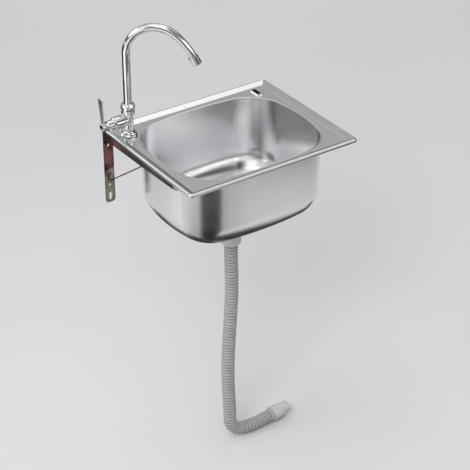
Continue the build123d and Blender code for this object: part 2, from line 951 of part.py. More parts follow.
def valve_place():
    # The valve's own frame: its Z runs to the left and its X points up
    return Pos(tap_x, tap_y, deck_z + valve_above_deck) * Rot(0, -90, 0)


def socket_r():
    return tail_r + running_gap


def neck_top():
    return column_h + neck_h


def socket_floor():
    return neck_top() - socket_h


def make_base_gasket():
    return tap_place() * ring(base_r - 1, tap_hole_r, 0, base_seal_t)


def make_tap_body():
    foot_top = base_seal_t + base_h
    bevel = (base_r - base_bevel_w, 0, foot_top + base_bevel_h)
    bell_top = (column_r, 0, bell_h)
    lower = Polyline(
        (0, 0, -shank_l),
        (shank_r, 0, -shank_l),
        (shank_r, 0, base_seal_t),
        (base_r, 0, base_seal_t),
        (base_r, 0, foot_top),
        bevel,
    )
    bell = ThreePointArc(bevel, (column_r + bell_mid_out, 0, bell_mid_h), bell_top)
    upper = Polyline(
        bell_top,
        (column_r, 0, column_h),
        (neck_r, 0, column_h),
        (neck_r, 0, neck_top()),
        (0, 0, neck_top()),
        (0, 0, -shank_l),
    )
    body = revolve(make_face([lower, bell, upper]), axis=Axis.Z)
    valve = Pos(0, 0, valve_above_deck) * Rot(0, -90, 0)
    body += valve * disc(boss_out_r, 0, boss_l)
    body -= disc(shank_bore_r, -shank_l - 1, shank_bore_top)
    body -= disc(inlet_r, shank_bore_top - 1, valve_above_deck, inlet_x)
    body -= valve * disc(inlet_r, -inlet_x, cartridge_front)
    body -= Pos(inlet_x, 0, valve_above_deck) * Sphere(inlet_r)
    body -= valve * disc(cartridge_r + cartridge_fit, cartridge_front, boss_l + 1)
    body -= valve * disc(relief_r, relief_start, relief_end)
    body -= disc(socket_r(), socket_floor(), neck_top() + 1)
    low = Vector(outlet_hole_low[0], 0, outlet_hole_low[1])
    high = Vector(outlet_hole_high[0], 0, outlet_hole_high[1])
    slant = Plane(low, x_dir=(0, 1, 0), z_dir=high - low)
    body -= extrude(slant * Circle(outlet_hole_r), (high - low).length)
    # The thread's run-out groove under the lock nut
    relief_z = -sheet - deck_washer_t - lock_nut_h - thread_relief_gap
    body -= groove(shank_r, thread_relief_r, relief_z - thread_relief_w, relief_z)
    return tap_place() * body


def make_deck_washer():
    low = -sheet - deck_washer_t
    return tap_place() * ring(deck_washer_r, shank_r + seal_fit, low, -sheet)


def make_lock_nut():
    high = -sheet - deck_washer_t
    body = hexagon(lock_nut_flats, high - lock_nut_h, high)
    return tap_place() * (body - disc(shank_r, high - lock_nut_h - 1, high + 1))


# Side valve

def cavity_end():
    return 2 * disc_t + disc_gap + foot_t + foot_play


def make_seat_gasket():
    gasket = disc(cartridge_cavity_r, cartridge_front, cartridge_front + seat_gasket_t)
    gasket -= disc(inlet_r, cartridge_front - 1, cartridge_front + seat_gasket_t + 1)
    return valve_place() * gasket


def make_fixed_disc():
    plate = disc(cartridge_cavity_r, 0, disc_t)
    for side in (-1, 1):
        plate -= disc(disc_hole_r, -1, disc_t + 1, side * disc_hole_at, 0)
    return valve_place() * plate


def foot_slots(z0, z1):
    # Two ways out to the side, a quarter turn from the fixed disc's holes while the tap is shut
    width = 2 * disc_hole_r
    slots = []
    for side in (-1, 1):
        slot = block(-width / 2, width / 2, disc_hole_at - disc_hole_r, disc_r + 1, z0, z1)
        slots.append(Rot(0, 0, 90 + side * 90) * slot)
    return slots


def make_moving_disc():
    low = disc_t + disc_gap
    return valve_place() * (disc(disc_r, low, low + disc_t) - foot_slots(low - 1, low + disc_t + 1))


def make_cartridge_body():
    body = turned([
        (0, cartridge_front + cartridge_nose_gap),
        (cartridge_r, cartridge_front + cartridge_nose_gap),
        (cartridge_r, boss_l),
        (cartridge_flange_r, boss_l),
        (cartridge_flange_r, boss_l + cartridge_flange_t),
        (cartridge_neck_r, boss_l + cartridge_flange_t),
        (cartridge_neck_r, cartridge_end),
        (0, cartridge_end),
    ])
    body -= disc(cartridge_cavity_r, cartridge_front - 1, cavity_end())
    body -= disc(valve_stem_r + stem_fit, 0, cartridge_end + 1)
    middle = (relief_start + relief_end) / 2
    for step in range(window_count):
        turn = 45 + step * 360 / window_count
        body -= Rot(0, 0, turn) * Pos(0, 0, middle) * Rot(0, 90, 0) * disc(window_r, 0, cartridge_r + 1)
    return valve_place() * body


def spline_form(r, z0, z1):
    # A round bar with two flats
    flats = block(-spline_flat, spline_flat, -r - 1, r + 1, z0, z1)
    return disc(r, z0, z1) & flats


def make_valve_stem():
    foot_low = 2 * disc_t + disc_gap
    stem = disc(disc_r, foot_low, foot_low + foot_t)
    stem -= foot_slots(foot_low - 1, foot_low + foot_t - 1)
    stem += disc(valve_stem_r, foot_low + foot_t - 1, valve_stem_shoulder)
    stem += spline_form(spline_r, valve_stem_shoulder, valve_stem_end)
    stem -= groove(valve_stem_r, stem_ring_groove_r, stem_ring_at, stem_ring_at + stem_ring_w)
    stem -= disc(lever_screw_r, lever_screw_start, valve_stem_end + 1)
    return valve_place() * stem


def make_stem_ring():
    r_out = valve_stem_r + stem_fit - ring_gap
    return valve_place() * ring(r_out, stem_ring_groove_r, stem_ring_at, stem_ring_at + stem_ring_w)


def cover_form(t):
    # The cover's outline as a closed solid, shrunk by t
    return turned([
        (0, cover_start + t),
        (cover_r - t, cover_start + t),
        (cover_r - t, cover_step_start),
        (cover_end_r - t, cover_step_end),
        (cover_end_r - t, cover_end - t),
        (0, cover_end - t),
    ])


def make_bonnet_cover():
    lip_r = boss_out_r + cover_lip_fit
    cover = cover_form(0)
    cover = fillet(cover.edges().filter_by(GeomType.CIRCLE), cover_edge_r) - cover_form(cover_wall)
    cover -= disc(lip_r, cover_start - 1, cover_start + cover_wall + 1)
    cover -= disc(cartridge_neck_r, cover_end - cover_wall - 1, cover_end + 1)
    return valve_place() * cover


# Lever

def hub_pocket_start():
    return valve_stem_end + hub_floor


def make_lever_handle():
    middle = (hub_start + hub_end) / 2
    handle = disc(hub_r, hub_start, hub_end)
    handle = chamfer(handle.edges().filter_by(GeomType.CIRCLE), hub_edge)
    foot = lever_foot_w / 2
    tip = lever_tip_w / 2
    outline = make_face(Polyline((0, -foot), (lever_l, -tip), (lever_l, tip), (0, foot), close=True))
    outline = fillet(outline.vertices().group_by(Axis.X)[-1], lever_tip_r)
    bar = extrude(Plane.XY.offset(-lever_t / 2) * outline, lever_t)
    handle += Pos(0, 0, middle) * Rot(0, lever_lean, 0) * bar
    handle -= spline_form(spline_r, hub_start - 1, valve_stem_end)
    handle -= disc(lever_screw_r, valve_stem_end - 1, hub_end + 1)
    handle -= disc(lever_cap_r, hub_pocket_start(), hub_end + 1)
    return valve_place() * handle


def make_lever_screw():
    start = hub_pocket_start()
    screw = disc(lever_screw_r, lever_screw_start, start)
    screw += disc(lever_screw_head_r, start, start + lever_screw_head_t)
    return valve_place() * screw


def make_lever_cap():
    start = hub_pocket_start() + lever_screw_head_t + lever_cap_gap
    cap = domed(lever_cap_r, start, start + lever_cap_t + lever_cap_dome, lever_cap_dome)
    return valve_place() * cap


# Spout

def spout_place():
    # The spout's own frame: the tube bends in its XZ plane
    return tap_place() * Rot(0, 0, spout_heading)


def spout_frame(x, z, angle):
    # Frame on the tube's middle line, its Z the way the water goes and its X to the bend's centre
    turn = radians(angle)
    return Plane((x, 0, z), x_dir=(cos(turn), 0, -sin(turn)), z_dir=(sin(turn), 0, cos(turn)))


def spout_bends():
    # Each bend's first frame, radius and turn, with the frame after the last bend at the end
    x, z, angle = 0.0, spout_straight, 0.0
    bends = []
    for r, turn in [(spout_arc_r, spout_turn), (spout_ease_r, spout_ease_turn)]:
        bends.append((spout_frame(x, z, angle), r, turn))
        before = radians(angle)
        after = radians(angle + turn)
        x += r * (cos(before) - cos(after))
        z += r * (sin(after) - sin(before))
        angle += turn
    return bends, spout_frame(x, z, angle)


def spout_run(r, start, over):
    # Solid bar of radius r from a height on, up, over the bends and past the tube's end
    bends, last = spout_bends()
    bar = disc(r, start, spout_straight)
    for frame, bend_r, turn in bends:
        centre = frame.origin + frame.x_dir * bend_r
        bar += revolve(frame * Circle(r), axis=Axis(centre, (0, 1, 0)), revolution_arc=turn)
    return bar + extrude(last * Circle(r), spout_end_l + over)


def spout_end_place():
    # Frame at the end of the tube, its Z the way the water goes
    last = spout_bends()[1]
    return spout_place() * last.location * Pos(0, 0, spout_end_l)


def clip_start():
    return neck_top() + clip_above_neck


def ring_starts():
    return [socket_floor() + ring_low, socket_floor() + ring_low + ring_pitch]


def make_spout_tube():
    shoulder = neck_top() + spout_lift
    tube = spout_run(spout_r, shoulder, 0)
    tube += disc(tail_r, socket_floor() + tail_gap, shoulder)
    tube -= spout_run(spout_r - spout_wall, spout_bore_top, 1)
    tube -= disc(spout_bore_r, socket_floor(), spout_bore_top + 1)
    for start in ring_starts():
        tube -= groove(tail_r, ring_groove_r, start, start + ring_width)
    tube -= groove(spout_r, clip_groove_r, clip_start(), clip_start() + clip_t + 2 * clip_gap)
    return spout_place() * tube


def make_spout_rings():
    rings = []
    for start in ring_starts():
        rings.append(tap_place() * ring(socket_r() - ring_gap, ring_groove_r, start, start + ring_width))
    return Compound(rings)


def make_split_ring():
    start = clip_start() + clip_gap
    clip = ring(clip_r, clip_groove_r, start, start + clip_t)
    clip -= block(0, clip_r + 1, -clip_opening / 2, clip_opening / 2, start - 1, start + clip_t + 1)
    return tap_place() * clip


def make_collar_nut():
    points = [(neck_r + wall, column_h + up) for wall, up in collar_steps]
    hole_r = spout_r + curve_gap
    top = column_h + collar_h
    body = turned([(0, column_h)] + points + [(hole_r + collar_lip_w, top), (0, top)])
    ceiling = clip_start() + clip_t + clip_gap + collar_ceiling_gap
    body -= disc(neck_r, column_h - 1, neck_top())
    body -= disc(neck_r + collar_cavity_fit, neck_top(), ceiling)
    body -= disc(hole_r, ceiling - 1, top + 1)
    return tap_place() * body


# Aerator

def make_aerator_housing():
    end = aerator_l - aerator_thread
    housing = disc(aerator_r, -aerator_thread, end)
    housing = fillet(housing.edges().filter_by(GeomType.CIRCLE), aerator_edge_r)
    housing -= disc(spout_r, -aerator_thread - 1, 0)
    housing -= disc(spout_r + aerator_pocket_fit, 0, end - aerator_lip)
    housing -= disc(aerator_mouth_r, 0, end + 1)
    return spout_end_place() * housing


def insert_r():
    return spout_r + aerator_pocket_fit - aerator_insert_fit


def make_aerator_washer():
    return spout_end_place() * ring(insert_r(), insert_r() - aerator_washer_w, 0, aerator_washer_t)


def make_aerator_insert():
    end = aerator_l - aerator_thread - aerator_lip
    inside_r = insert_r() - aerator_insert_wall
    insert = disc(insert_r(), aerator_washer_t, end)
    insert -= disc(inside_r, aerator_washer_t - 1, end - aerator_plate_t)
    holes = []
    reach = int(inside_r / aerator_hole_pitch) + 1
    for row in range(-reach, reach + 1):
        for step in range(-reach, reach + 1):
            x = (step + row / 2) * aerator_hole_pitch
            y = row * aerator_hole_pitch * sqrt(3) / 2
            if hypot(x, y) < inside_r - aerator_hole_r:
                holes.append(disc(aerator_hole_r, end - aerator_plate_t - 1, end + 1, x, y))
    return spout_end_place() * (insert - holes)


# Wall brackets, drawn on the right and mirrored for the left

def bar_y(r, x, z, y0, y1):
    # A round bar along Y
    return Pos(x, (y0 + y1) / 2, z) * Rot(90, 0, 0) * Cylinder(r, y1 - y0)


def leg_rivet_heights():
    foot_rivet_z = rim_z - brace_tip_below_rim + brace_rivet_up
    return [rim_z - below for below in tab_rivets_below_rim] + [foot_rivet_z]


def brace_rivet_y():
    return brace_arm_y - brace_tab_l / 2


def right_leg():
    low_z = rim_z - leg_below_rim
    leg = block(leg_x - leg_w / 2, leg_x + leg_w / 2, -leg_t, 0, low_z, seat_z)
    leg = fillet(leg.edges().filter_by(Axis.Y).group_by(Axis.Z)[0], leg_end_r)
    upper_z = hole_spacing_z / 2
    leg += bar_y(boss_ring_out_r, leg_x, upper_z, -leg_t - boss_ring_h, -leg_t / 2)
    leg -= bar_y(boss_ring_in_r, leg_x, upper_z, -leg_t - boss_ring_h - 1, -leg_t)
    for z in (upper_z, -upper_z):
        leg -= bar_y(wall_hole_r, leg_x, z, -leg_t - 1, 1)
    slot_z = rim_z - slot_below_rim
    half = (slot_l - slot_w) / 2
    leg -= block(leg_x - slot_w / 2, leg_x + slot_w / 2, -leg_t - 1, 1, slot_z - half, slot_z + half)
    for z in (slot_z - half, slot_z + half):
        leg -= bar_y(slot_w / 2, leg_x, z, -leg_t - 1, 1)
    for z in leg_rivet_heights():
        leg -= bar_y(rivet_r, leg_x, z, -leg_t - 1, 1)
    return leg


def right_arm():
    web_z = seat_z - arm_t
    outer_x = leg_x + leg_w / 2
    inner_x = leg_x - leg_w / 2
    web = block(inner_x, outer_x, -arm_l, -leg_t, web_z, seat_z)
    corner = web.edges().filter_by(Axis.Z).group_by(Axis.Y)[0].sort_by(Axis.X)[0]
    arm = fillet(corner, arm_tip_r)
    depths = [
        (-leg_t, 0),
        (-leg_t, arm_flange_back),
        (brace_arm_y, arm_flange_mid),
        (arm_nose_l - arm_l, arm_flange_front),
        (-arm_l, arm_flange_tip),
        (-arm_l, 0),
    ]
    side = make_face(Polyline([(outer_x, y, seat_z - depth) for y, depth in depths], close=True))
    arm += extrude(side, arm_flange_t, dir=(-1, 0, 0))
    arm += block(inner_x, outer_x, -leg_t - arm_t, -leg_t, rim_z - tab_below_rim, seat_z)
    arm += block(inner_x - lug_w, inner_x + 1, lug_y - lug_l / 2, lug_y + lug_l / 2, seat_z - lug_t, seat_z)
    for below in tab_rivets_below_rim:
        arm -= bar_y(rivet_r, leg_x, rim_z - below, -leg_t - arm_t - 1, 1)
    arm -= disc(rivet_r, web_z - 1, seat_z + 1, leg_x, brace_rivet_y())
    return arm


def right_brace():
    top_z = seat_z - arm_t
    tip_z = rim_z - brace_tip_below_rim
    foot_y = -leg_t - brace_t
    # The strip runs under the arm, down to the leg and up it, drawn from the side
    slope = atan2(top_z - brace_t - tip_z, foot_y - brace_arm_y)
    bend = brace_t * tan(slope / 2)
    foot_bend = brace_t * tan((pi / 2 - slope) / 2)
    under = Polyline(
        [
            (0, brace_arm_y - brace_tab_l, top_z),
            (0, brace_arm_y + bend, top_z),
            (0, foot_y + foot_bend, tip_z + brace_t * tan(slope / 2)),
            (0, foot_y, tip_z - foot_bend),
            (0, brace_arm_y, top_z - brace_t),
            (0, brace_arm_y - brace_tab_l, top_z - brace_t),
        ],
        close=True,
    )
    strip = extrude(make_face(under), leg_w, dir=(1, 0, 0))
    strip = Pos(leg_x - leg_w / 2, 0, 0) * strip
    wide = brace_w / 2
    thin = brace_tip_w / 2
    front = Polyline(
        [
            (leg_x - thin, 0, tip_z - brace_t),
            (leg_x + thin, 0, tip_z - brace_t),
            (leg_x + wide, 0, top_z - brace_t),
            (leg_x + wide, 0, top_z + 1),
            (leg_x - wide, 0, top_z + 1),
            (leg_x - wide, 0, top_z - brace_t),
        ],
        close=True,
    )
    brace = strip & extrude(make_face(front), arm_l, dir=(0, -1, 0))
    foot_wide = brace_foot_w / 2
    foot = Polyline(
        [
            (leg_x - thin, -leg_t, tip_z - brace_t / 2),
            (leg_x + thin, -leg_t, tip_z - brace_t / 2),
            (leg_x + foot_wide, -leg_t, tip_z + brace_foot_h),
            (leg_x - foot_wide, -leg_t, tip_z + brace_foot_h),
        ],
        close=True,
    )
    brace += extrude(make_face(foot), brace_t, dir=(0, -1, 0))
    brace -= bar_y(rivet_r, leg_x, leg_rivet_heights()[-1], foot_y - 1, 1)
    brace -= disc(rivet_r, top_z - brace_t - 1, top_z + 1, leg_x, brace_rivet_y())
    return brace


def rivet(grip):
    # Its domed head stands up from Z = 0 and its shank goes down through the grip
    return domed(rivet_head_r, 0, rivet_head_h, rivet_dome) + disc(rivet_r, -grip, 0)


def right_rivets():
    rivets = []
    for z in leg_rivet_heights():
        rivets.append(Pos(leg_x, -leg_t - arm_t, z) * Rot(90, 0, 0) * rivet(leg_t + arm_t))
    low_z = seat_z - arm_t - brace_t
    rivets.append(Pos(leg_x, brace_rivet_y(), low_z) * Rot(180, 0, 0) * rivet(arm_t + brace_t))
    return rivets


def make_bracket_rivets():
    rivets = right_rivets()
    return Compound(rivets + [mirror(rivet, about=Plane.YZ) for rivet in rivets])


def left(shape):
    return mirror(shape, about=Plane.YZ)


def make_all():
    deck, bowl = make_deck_and_bowl()
    leg = right_leg()
    arm = right_arm()
    brace = right_brace()
    return {
        "sink_deck": deck,
        "sink_bowl": bowl,
        "flange_seal": make_flange_seal(),
        "strainer_cup": make_strainer_cup(),
        "body_seal": make_body_seal(),
        "drain_body": make_drain_body(),
        "clamp_screw": make_clamp_screw(),
        "strainer_basket": make_strainer_basket(),
        "stopper_seal": make_stopper_seal(),
        "stopper_stem": make_stopper_stem(),
        "stopper_knob": make_stopper_knob(),
        "hose_washer": make_hose_washer(),
        "hose_nut": make_hose_nut(),
        "drain_hose": make_drain_hose(),
        "hose_cuff": make_hose_cuff(),
        "overflow_cover": make_overflow_cover(),
        "overflow_gasket": make_overflow_gasket(),
        "overflow_housing": make_overflow_housing(),
        "overflow_pipe": make_overflow_pipe(),
        "overflow_nuts": make_overflow_nuts(),
        "base_gasket": make_base_gasket(),
        "tap_body": make_tap_body(),
        "deck_washer": make_deck_washer(),
        "lock_nut": make_lock_nut(),
        "seat_gasket": make_seat_gasket(),
        "fixed_disc": make_fixed_disc(),
        "moving_disc": make_moving_disc(),
        "cartridge_body": make_cartridge_body(),
        "valve_stem": make_valve_stem(),
        "stem_ring": make_stem_ring(),
        "bonnet_cover": make_bonnet_cover(),
        "lever_handle": make_lever_handle(),
        "lever_screw": make_lever_screw(),
        "lever_cap": make_lever_cap(),
        "spout_tube": make_spout_tube(),
        "spout_rings": make_spout_rings(),
        "split_ring": make_split_ring(),
        "collar_nut": make_collar_nut(),
        "aerator_housing": make_aerator_housing(),
        "aerator_washer": make_aerator_washer(),
        "aerator_insert": make_aerator_insert(),
        "right_leg": leg,
        "left_leg": left(leg),
        "right_arm": arm,
        "left_arm": left(arm),
        "right_brace": brace,
        "left_brace": left(brace),
        "bracket_rivets": make_bracket_rivets(),
    }


for node, shape in make_all().items():
    export_step(shape, f"parts/{node}.step")
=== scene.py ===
import json
import math

import bpy
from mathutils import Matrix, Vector


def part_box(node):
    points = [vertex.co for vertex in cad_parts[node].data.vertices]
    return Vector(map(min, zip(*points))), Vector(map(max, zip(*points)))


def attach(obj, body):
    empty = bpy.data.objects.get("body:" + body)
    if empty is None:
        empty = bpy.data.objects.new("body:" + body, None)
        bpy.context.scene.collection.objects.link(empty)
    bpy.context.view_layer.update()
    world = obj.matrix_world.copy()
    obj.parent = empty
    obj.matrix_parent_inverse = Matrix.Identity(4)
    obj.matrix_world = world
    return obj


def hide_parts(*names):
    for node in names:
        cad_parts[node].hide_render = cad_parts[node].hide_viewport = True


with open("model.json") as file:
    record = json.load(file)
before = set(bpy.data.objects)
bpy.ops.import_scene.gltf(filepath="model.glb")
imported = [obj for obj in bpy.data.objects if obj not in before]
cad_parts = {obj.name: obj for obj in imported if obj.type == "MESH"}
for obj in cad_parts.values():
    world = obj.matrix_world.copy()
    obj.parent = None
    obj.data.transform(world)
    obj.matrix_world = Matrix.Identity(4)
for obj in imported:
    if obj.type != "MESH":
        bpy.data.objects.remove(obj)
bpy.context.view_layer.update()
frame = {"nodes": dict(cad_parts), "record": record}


# Camera, in metres. It looks at the middle of the sink from the front left and above.

PHOTO_SIZE = 470
FOCAL_PIXELS = 1586.4
SENSOR_WIDTH = 36.0
VIEW_AZIMUTH = math.radians(-34.41)
VIEW_ELEVATION = math.radians(31.94)
VIEW_DISTANCE = 3.7394
VIEW_TARGET = Vector((0.0144, -0.1861, -0.1755))


def aim(thing, direction):
    # Turns a camera or a light to look along a direction
    thing.rotation_mode = "QUATERNION"
    thing.rotation_quaternion = direction.to_track_quat("-Z", "Y")


def make_camera():
    back = Vector((
        math.sin(VIEW_AZIMUTH) * math.cos(VIEW_ELEVATION),
        -math.cos(VIEW_AZIMUTH) * math.cos(VIEW_ELEVATION),
        math.sin(VIEW_ELEVATION),
    ))
    data = bpy.data.cameras.new("camera")
    data.sensor_width = SENSOR_WIDTH
    data.lens = SENSOR_WIDTH * FOCAL_PIXELS / PHOTO_SIZE
    camera = bpy.data.objects.new("camera", data)
    bpy.context.scene.collection.objects.link(camera)
    camera.location = VIEW_TARGET + back * VIEW_DISTANCE
    aim(camera, -back)
    bpy.context.scene.camera = camera


# Drain hose, in metres. The points are the same route as the solid's.

HOSE_R = 0.0165
HOSE_ROOT_R = 0.0143
HOSE_BORE_R = 0.0132
HOSE_PITCH = 0.0086
HOSE_PLAIN = 0.021
HOSE_SIDES = 56
HOSE_BORE_ROWS = 160
RIB_STEPS = 12
RIB_POWER = 0.6
SPLINE_ORDER = 3
SPLINE_STEPS = 48
SHORTEST_STEP = 1e-12
HOSE_POINTS = [
    (0.0, -0.190, -0.1705),
    (0.0, -0.190, -0.2315),
    (0.002, -0.191, -0.310),
    (-0.001, -0.189, -0.410),
    (-0.006, -0.186, -0.510),
    (-0.0065, -0.1855, -0.590),
    (-0.0045, -0.187, -0.650),
    (-0.003, -0.1885, -0.690),
    (-0.003, -0.189, -0.727),
    (0.008, -0.190, -0.7463),
    (0.0263, -0.192, -0.757),
    (0.060, -0.196, -0.758),
    (0.0995, -0.1953, -0.756),
    (0.138, -0.1938, -0.7526),
]


def make_object(name, verts, faces):
    mesh = bpy.data.meshes.new(name)
    mesh.from_pydata(verts, [], faces)
    mesh.update()
    made = bpy.data.objects.new(name, mesh)
    bpy.context.scene.collection.objects.link(made)
    return made


def spline_line(points):
    # Points along the smooth line that the control points give
    curve = bpy.data.curves.new("route", "CURVE")
    curve.dimensions = "3D"
    spline = curve.splines.new("NURBS")
    spline.points.add(len(points) - 1)
    for point, place in zip(spline.points, points):
        point.co = (*place, 1.0)
    spline.order_u = SPLINE_ORDER
    spline.use_endpoint_u = True
    spline.resolution_u = SPLINE_STEPS
    carrier = bpy.data.objects.new("route", curve)
    mesh = bpy.data.meshes.new_from_object(carrier)
    line = [v.co.copy() for v in mesh.vertices]
    bpy.data.objects.remove(carrier)
    bpy.data.meshes.remove(mesh)
    bpy.data.curves.remove(curve)
    return line


def along(line):
    # Distance of each point from the line's start
    steps = [0.0]
    for before, here in zip(line, line[1:]):
        steps.append(steps[-1] + (here - before).length)
    return steps


def at_distance(line, steps, distance):
    # Place and direction on the line at a distance from its start
    distance = min(max(distance, 0.0), steps[-1])
    low = 0
    high = len(steps) - 1
    while high - low > 1:
        middle = (low + high) // 2
        if steps[middle] <= distance:
            low = middle
        else:
            high = middle
    share = (distance - steps[low]) / max(steps[high] - steps[low], SHORTEST_STEP)
    return line[low].lerp(line[high], share), (line[high] - line[low]).normalized()


def tube(name, line, stations, sides):
    # Tube wall through (distance, radius) stations, kept from twisting by a fixed sideways axis
    steps = along(line)
    verts = []
    faces = []
    for distance, r in stations:
        place, ahead = at_distance(line, steps, distance)
        across = Vector((0, 1, 0))
        across = (across - ahead * across.dot(ahead)).normalized()
        up = ahead.cross(across)
        for side in range(sides):
            turn = 2 * math.pi * side / sides
            verts.append(place + across * (r * math.cos(turn)) + up * (r * math.sin(turn)))
    for row in range(len(stations) - 1):
        low = row * sides
        for side in range(sides):
            after = (side + 1) % sides
            faces.append((low + side, low + after, low + sides + after, low + sides + side))
    made = make_object(name, verts, faces)
    for polygon in made.data.polygons:
        polygon.use_smooth = True
    return made


def rib_wave(share):
    # From 0 at the root between two ribs to 1 on a rib's crest
    return (0.5 - 0.5 * math.cos(2 * math.pi * share)) ** RIB_POWER


def hose_stations(length):
    # The plain end, the ribs from crest to crest, the other plain end, and back through the bore
    count = round((length - 2 * HOSE_PLAIN) / HOSE_PITCH)
    pitch = (length - 2 * HOSE_PLAIN) / count
    depth = HOSE_R - HOSE_ROOT_R
    stations = [(0.0, HOSE_BORE_R), (0.0, HOSE_R)]
    for step in range(count * RIB_STEPS + 1):
        share = step / RIB_STEPS
        stations.append((HOSE_PLAIN + share * pitch, HOSE_R - depth * (1 - rib_wave(0.5 + share))))
    stations.append((length, HOSE_R))
    stations.append((length, HOSE_BORE_R))
    for step in range(HOSE_BORE_ROWS + 1):
        stations.append((length * (1 - step / HOSE_BORE_ROWS), HOSE_BORE_R))
    return stations


def make_hose():
    line = spline_line(HOSE_POINTS)
    length = along(line)[-1]
    stations = hose_stations(length)
    hose = tube("drain_hose_ribbed", line, stations, HOSE_SIDES)
    # How high each point stands between the ribs' root and crest, for the painted shade in the grooves
    crest = hose.data.attributes.new("crest", "FLOAT", "POINT")
    for index, row in enumerate(crest.data):
        r = stations[index // HOSE_SIDES][1]
        row.value = (r - HOSE_ROOT_R) / (HOSE_R - HOSE_ROOT_R)
    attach(hose, "root")
    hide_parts("drain_hose")
    return hose


# Shader nodes

# The part of a noise's range that most of it falls in
NOISE_LOW = 0.3
NOISE_HIGH = 0.7
# Sockets of a colour Mix node, whose names repeat
MIX_SHARE = 0
MIX_FIRST = 6
MIX_SECOND = 7
MIX_RESULT = 2


def material(name):
    made = bpy.data.materials.new(name)
    made.use_nodes = True
    return made, made.node_tree, made.node_tree.nodes["Principled BSDF"]


def node(tree, kind, **values):
    made = tree.nodes.new(kind)
    for key, value in values.items():
        setattr(made, key, value)
    return made


def feed(tree, socket, value):
    # Links another node's output to a socket, or sets a plain value on it
    if isinstance(value, bpy.types.NodeSocket):
        tree.links.new(value, socket)
    else:
        socket.default_value = value


def surface_point(tree, scale=(1, 1, 1)):
    # The surface's own point, stretched along each axis
    mapping = node(tree, "ShaderNodeMapping")
    mapping.inputs["Scale"].default_value = scale
    feed(tree, mapping.inputs["Vector"], node(tree, "ShaderNodeTexCoord").outputs["Object"])
    return mapping.outputs["Vector"]


def noise(tree, point, scale, detail=4.0, roughness=0.55):
    made = node(tree, "ShaderNodeTexNoise")
    feed(tree, made.inputs["Vector"], point)
    made.inputs["Scale"].default_value = scale
    made.inputs["Detail"].default_value = detail
    made.inputs["Roughness"].default_value = roughness
    return made.outputs["Fac"]


def spread(tree, value, low, high, from_low=NOISE_LOW, from_high=NOISE_HIGH):
    # Carries a value from one range over to another
    made = node(tree, "ShaderNodeMapRange")
    feed(tree, made.inputs["Value"], value)
    made.inputs["From Min"].default_value = from_low
    made.inputs["From Max"].default_value = from_high
    made.inputs["To Min"].default_value = low
    made.inputs["To Max"].default_value = high
    return made.outputs["Result"]


def fade(tree, value, full, none):
    # 1 where the value is beyond full, 0 where it is beyond none
    made = node(tree, "ShaderNodeMapRange", interpolation_type="SMOOTHSTEP")
    feed(tree, made.inputs["Value"], value)
    made.inputs["From Min"].default_value = none
    made.inputs["From Max"].default_value = full
    return made.outputs["Result"]


def grey(level):
    return (level, level, level)


def ramp(tree, value, stops):
    made = node(tree, "ShaderNodeValToRGB")
    elements = made.color_ramp.elements
    while len(elements) < len(stops):
        elements.new(0.5)
    for element, (place, color) in zip(elements, stops):
        element.position = place
        element.color = (*color, 1.0)
    feed(tree, made.inputs["Fac"], value)
    return made.outputs["Color"]


def mottled(tree, value, dark, light):
    # Colour between two shades by a noise
    return ramp(tree, value, [(NOISE_LOW, dark), (NOISE_HIGH, light)])


def bump(tree, value, shader, strength, distance):
    made = node(tree, "ShaderNodeBump")
    made.inputs["Strength"].default_value = strength
    made.inputs["Distance"].default_value = distance
    feed(tree, made.inputs["Height"], value)
    feed(tree, shader.inputs["Normal"], made.outputs["Normal"])


def maths(tree, kind, first, second=0.0):
    made = node(tree, "ShaderNodeMath", operation=kind)
    feed(tree, made.inputs[0], first)
    feed(tree, made.inputs[1], second)
    return made.outputs["Value"]


def product(tree, first, *others):
    for other in others:
        first = maths(tree, "MULTIPLY", first, other)
    return first


def mixed(tree, first, second, share=1.0, blend="MIX"):
    made = node(tree, "ShaderNodeMix", data_type="RGBA", blend_type=blend)
    feed(tree, made.inputs[MIX_SHARE], share)
    feed(tree, made.inputs[MIX_FIRST], first)
    feed(tree, made.inputs[MIX_SECOND], second)
    return made.outputs[MIX_RESULT]


# Finishes of metal, plastic, rubber and ceramic

BRUSH_STRETCH = (3.0, 60.0, 60.0)
STEEL_DARK = (0.78, 0.783, 0.79)
STEEL_LIGHT = (0.83, 0.833, 0.84)
CHROME_DARK = (0.78, 0.79, 0.81)
CHROME_LIGHT = (0.84, 0.85, 0.86)
HOSE_DARK = (0.37, 0.375, 0.385)
HOSE_LIGHT = (0.45, 0.455, 0.465)
GRAIN_STRENGTH = 0.3
GRAIN_PER_MOTTLE = 8

# Material slot: darkest and lightest colour, lowest and highest roughness, grain scale, grain depth, metallic
PLAIN_FINISHES = {
    "polished_steel": ((0.6, 0.61, 0.62), (0.72, 0.73, 0.74), 0.12, 0.22, 400, 0.00002, 1.0),
    "brass": ((0.55, 0.38, 0.15), (0.72, 0.52, 0.24), 0.2, 0.35, 500, 0.00002, 1.0),
    "ceramic": ((0.8, 0.8, 0.78), (0.88, 0.88, 0.86), 0.15, 0.3, 600, 0.00001, 0.0),
    "black_rubber": (grey(0.012), grey(0.025), 0.6, 0.8, 900, 0.00005, 0.0),
    "grey_plastic": ((0.5, 0.505, 0.51), (0.58, 0.585, 0.59), 0.35, 0.5, 700, 0.00003, 0.0),
    "black_plastic": ((0.01, 0.01, 0.011), (0.02, 0.02, 0.022), 0.4, 0.55, 700, 0.00003, 0.0),
    "white_plastic": ((0.72, 0.72, 0.71), (0.8, 0.8, 0.79), 0.35, 0.5, 700, 0.00003, 0.0),
    "zinc": ((0.2, 0.16, 0.09), (0.45, 0.36, 0.26), 0.25, 0.45, 300, 0.00003, 0.9),
}


